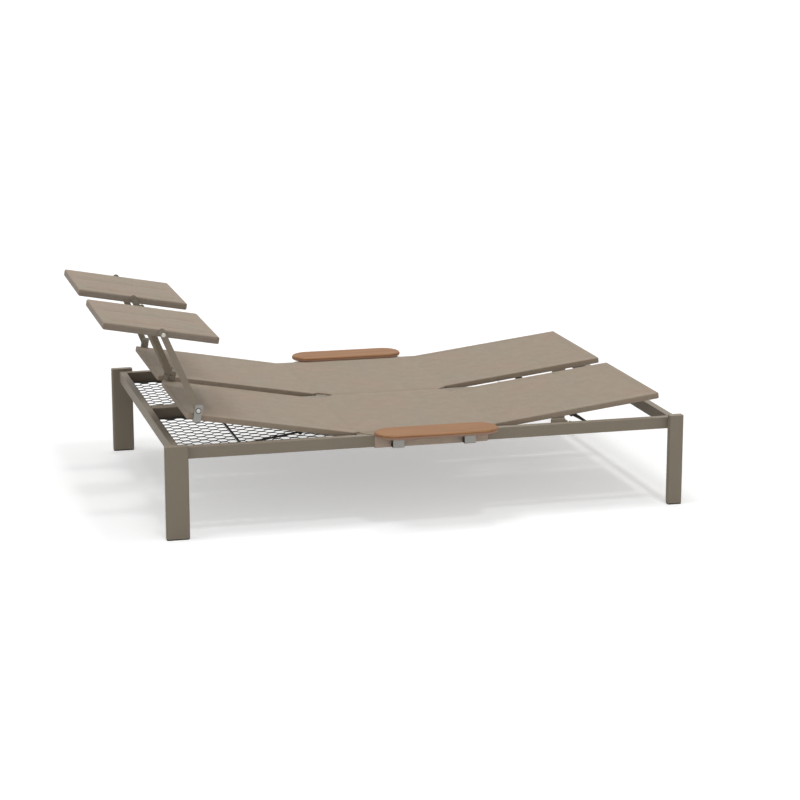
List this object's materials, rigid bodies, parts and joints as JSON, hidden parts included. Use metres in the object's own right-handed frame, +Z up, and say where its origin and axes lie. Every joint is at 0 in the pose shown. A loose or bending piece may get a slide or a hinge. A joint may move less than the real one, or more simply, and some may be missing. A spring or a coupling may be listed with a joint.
{
  "type": "double chaise lounger",
  "caption": "Low double sun lounger: shared taupe frame, reclining fabric backs, lifting leg rests, teak armrests and tilting sun canopies on arms.",
  "frame": {"origin": "on the floor, under the middle of the whole object's box", "axes": "+X from the head end with the canopies to the foot end, +Z up, +Y to the far lounger of the picture"},
  "size_m": [2.1966, 1.59, 0.7998],
  "materials": {
    "frame_paint": "satin powder coat, taupe",
    "tray_paint": "satin powder coat over expanded metal",
    "woven_fabric": "fine plain weave, coated yarn",
    "teak": "oiled, sanded smooth",
    "clip_steel": "brushed",
    "glide_plastic": "moulded, matt",
    "black_steel": "black coat",
    "rack_paint": "satin powder coat, taupe",
    "bolt_steel": "stainless",
    "frame_alloy": "mill finish",
    "arm_paint": "satin powder coat, taupe",
    "knob_plastic": "moulded, matt"
  },
  "bodies": {
    "frame": {"head_rail": "frame_paint", "foot_rail": "frame_paint", "middle_bolts": "bolt_steel", "head_cross_bars": "frame_paint", "foot_cross_bars": "frame_paint", "leg_glides": "glide_plastic", "back_racks": "black_steel", "leg_rest_racks": "rack_paint", "hinge_pins": "black_steel", "armrest_screws": "bolt_steel", "head_leg_near": "frame_paint", "head_leg_far": "frame_paint", "foot_leg_near": "frame_paint", "foot_leg_far": "frame_paint", "side_rail_near": "frame_paint", "side_rail_far": "frame_paint", "middle_rail_near": "frame_paint", "middle_rail_far": "frame_paint", "mesh_tray_near": "tray_paint", "mesh_tray_far": "tray_paint", "seat_sling_near": "woven_fabric", "seat_sling_far": "woven_fabric", "armrest_near": "teak", "armrest_far": "teak", "armrest_clips_near": "clip_steel", "armrest_clips_far": "clip_steel"},
    "back_near": {"back_sleeve_near": "woven_fabric", "back_frame_near": "frame_alloy", "back_stay_ears_near": "black_steel", "canopy_brackets_near": "clip_steel"},
    "back_stay_near": {"back_stay_near": "black_steel"},
    "leg_rest_near": {"leg_rest_sleeve_near": "woven_fabric", "leg_rest_frame_near": "frame_alloy", "leg_rest_stay_ears_near": "black_steel"},
    "leg_rest_stay_near": {"leg_rest_stay_near": "black_steel"},
    "canopy_arms_near": {"canopy_arm_outer_near": "arm_paint", "canopy_arm_inner_near": "arm_paint", "canopy_bolts_near": "bolt_steel"},
    "canopy_near": {"canopy_sleeve_near": "woven_fabric", "canopy_frame_near": "frame_alloy"},
    "lower_knob_outer_near": {"lower_knob_outer_near": "knob_plastic"},
    "lower_knob_inner_near": {"lower_knob_inner_near": "knob_plastic"},
    "upper_knob_near": {"upper_knob_near": "knob_plastic"},
    "back_far": {"back_sleeve_far": "woven_fabric", "back_frame_far": "frame_alloy", "back_stay_ears_far": "black_steel", "canopy_brackets_far": "clip_steel"},
    "back_stay_far": {"back_stay_far": "black_steel"},
    "leg_rest_far": {"leg_rest_sleeve_far": "woven_fabric", "leg_rest_frame_far": "frame_alloy", "leg_rest_stay_ears_far": "black_steel"},
    "leg_rest_stay_far": {"leg_rest_stay_far": "black_steel"},
    "canopy_arms_far": {"canopy_arm_outer_far": "arm_paint", "canopy_arm_inner_far": "arm_paint", "canopy_bolts_far": "bolt_steel"},
    "canopy_far": {"canopy_sleeve_far": "woven_fabric", "canopy_frame_far": "frame_alloy"},
    "lower_knob_outer_far": {"lower_knob_outer_far": "knob_plastic"},
    "lower_knob_inner_far": {"lower_knob_inner_far": "knob_plastic"},
    "upper_knob_far": {"upper_knob_far": "knob_plastic"}
  },
  "joints": [
    {"name": "back_recline_near", "type": "hinge", "parent": "frame", "child": "back_near", "pos_m": [-0.18874, -0.342, 0.336], "axis": [0, 1, 0], "range_deg": [-10, 50]},
    {"name": "back_stay_swing_near", "type": "hinge", "parent": "back_near", "child": "back_stay_near", "pos_m": [-0.37898, -0.342, 0.35127], "axis": [0, 1, 0], "range_deg": [-93.5, 19]},
    {"name": "leg_rest_lift_near", "type": "hinge", "parent": "frame", "child": "leg_rest_near", "pos_m": [0.36726, -0.342, 0.336], "axis": [0, -1, 0], "range_deg": [-7, 6]},
    {"name": "leg_rest_stay_swing_near", "type": "hinge", "parent": "leg_rest_near", "child": "leg_rest_stay_near", "pos_m": [0.68112, -0.342, 0.3564], "axis": [0, -1, 0], "range_deg": [-32, 37]},
    {"name": "canopy_arm_swing_near", "type": "hinge", "parent": "back_near", "child": "canopy_arms_near", "pos_m": [-0.76576, -0.342, 0.46465], "axis": [0, 1, 0], "range_deg": [-40, 45]},
    {"name": "canopy_tilt_near", "type": "hinge", "parent": "canopy_arms_near", "child": "canopy_near", "pos_m": [-0.8796, -0.342, 0.74222], "axis": [0, 1, 0], "range_deg": [-60, 60]},
    {"name": "lower_knob_outer_turn_near", "type": "hinge", "parent": "canopy_arms_near", "child": "lower_knob_outer_near", "pos_m": [-0.76576, -0.628, 0.46465], "axis": [0, 1, 0], "continuous": true},
    {"name": "lower_knob_inner_turn_near", "type": "hinge", "parent": "canopy_arms_near", "child": "lower_knob_inner_near", "pos_m": [-0.76576, -0.056, 0.46465], "axis": [0, 1, 0], "continuous": true},
    {"name": "upper_knob_turn_near", "type": "hinge", "parent": "canopy_arms_near", "child": "upper_knob_near", "pos_m": [-0.8796, -0.0942, 0.74222], "axis": [0, 1, 0], "continuous": true},
    {"name": "back_recline_far", "type": "hinge", "parent": "frame", "child": "back_far", "pos_m": [-0.18874, 0.342, 0.336], "axis": [0, 1, 0], "range_deg": [-10, 50]},
    {"name": "back_stay_swing_far", "type": "hinge", "parent": "back_far", "child": "back_stay_far", "pos_m": [-0.37898, 0.342, 0.35127], "axis": [0, 1, 0], "range_deg": [-93.5, 19]},
    {"name": "leg_rest_lift_far", "type": "hinge", "parent": "frame", "child": "leg_rest_far", "pos_m": [0.36726, 0.342, 0.336], "axis": [0, -1, 0], "range_deg": [-7, 6]},
    {"name": "leg_rest_stay_swing_far", "type": "hinge", "parent": "leg_rest_far", "child": "leg_rest_stay_far", "pos_m": [0.68112, 0.342, 0.3564], "axis": [0, -1, 0], "range_deg": [-32, 37]},
    {"name": "canopy_arm_swing_far", "type": "hinge", "parent": "back_far", "child": "canopy_arms_far", "pos_m": [-0.76576, 0.342, 0.46465], "axis": [0, 1, 0], "range_deg": [-40, 45]},
    {"name": "canopy_tilt_far", "type": "hinge", "parent": "canopy_arms_far", "child": "canopy_far", "pos_m": [-0.8796, 0.342, 0.74222], "axis": [0, 1, 0], "range_deg": [-60, 60]},
    {"name": "lower_knob_outer_turn_far", "type": "hinge", "parent": "canopy_arms_far", "child": "lower_knob_outer_far", "pos_m": [-0.76576, 0.628, 0.46465], "axis": [0, 1, 0], "continuous": true},
    {"name": "lower_knob_inner_turn_far", "type": "hinge", "parent": "canopy_arms_far", "child": "lower_knob_inner_far", "pos_m": [-0.76576, 0.056, 0.46465], "axis": [0, 1, 0], "continuous": true},
    {"name": "upper_knob_turn_far", "type": "hinge", "parent": "canopy_arms_far", "child": "upper_knob_far", "pos_m": [-0.8796, 0.0942, 0.74222], "axis": [0, 1, 0], "continuous": true}
  ],
  "couplings": [
    {"joint": "back_stay_swing_near", "follows": "back_recline_near", "ratio": -1.86},
    {"joint": "leg_rest_stay_swing_near", "follows": "leg_rest_lift_near", "ratio": -5.25},
    {"joint": "back_stay_swing_far", "follows": "back_recline_far", "ratio": -1.86},
    {"joint": "leg_rest_stay_swing_far", "follows": "leg_rest_lift_far", "ratio": -5.25}
  ]
}
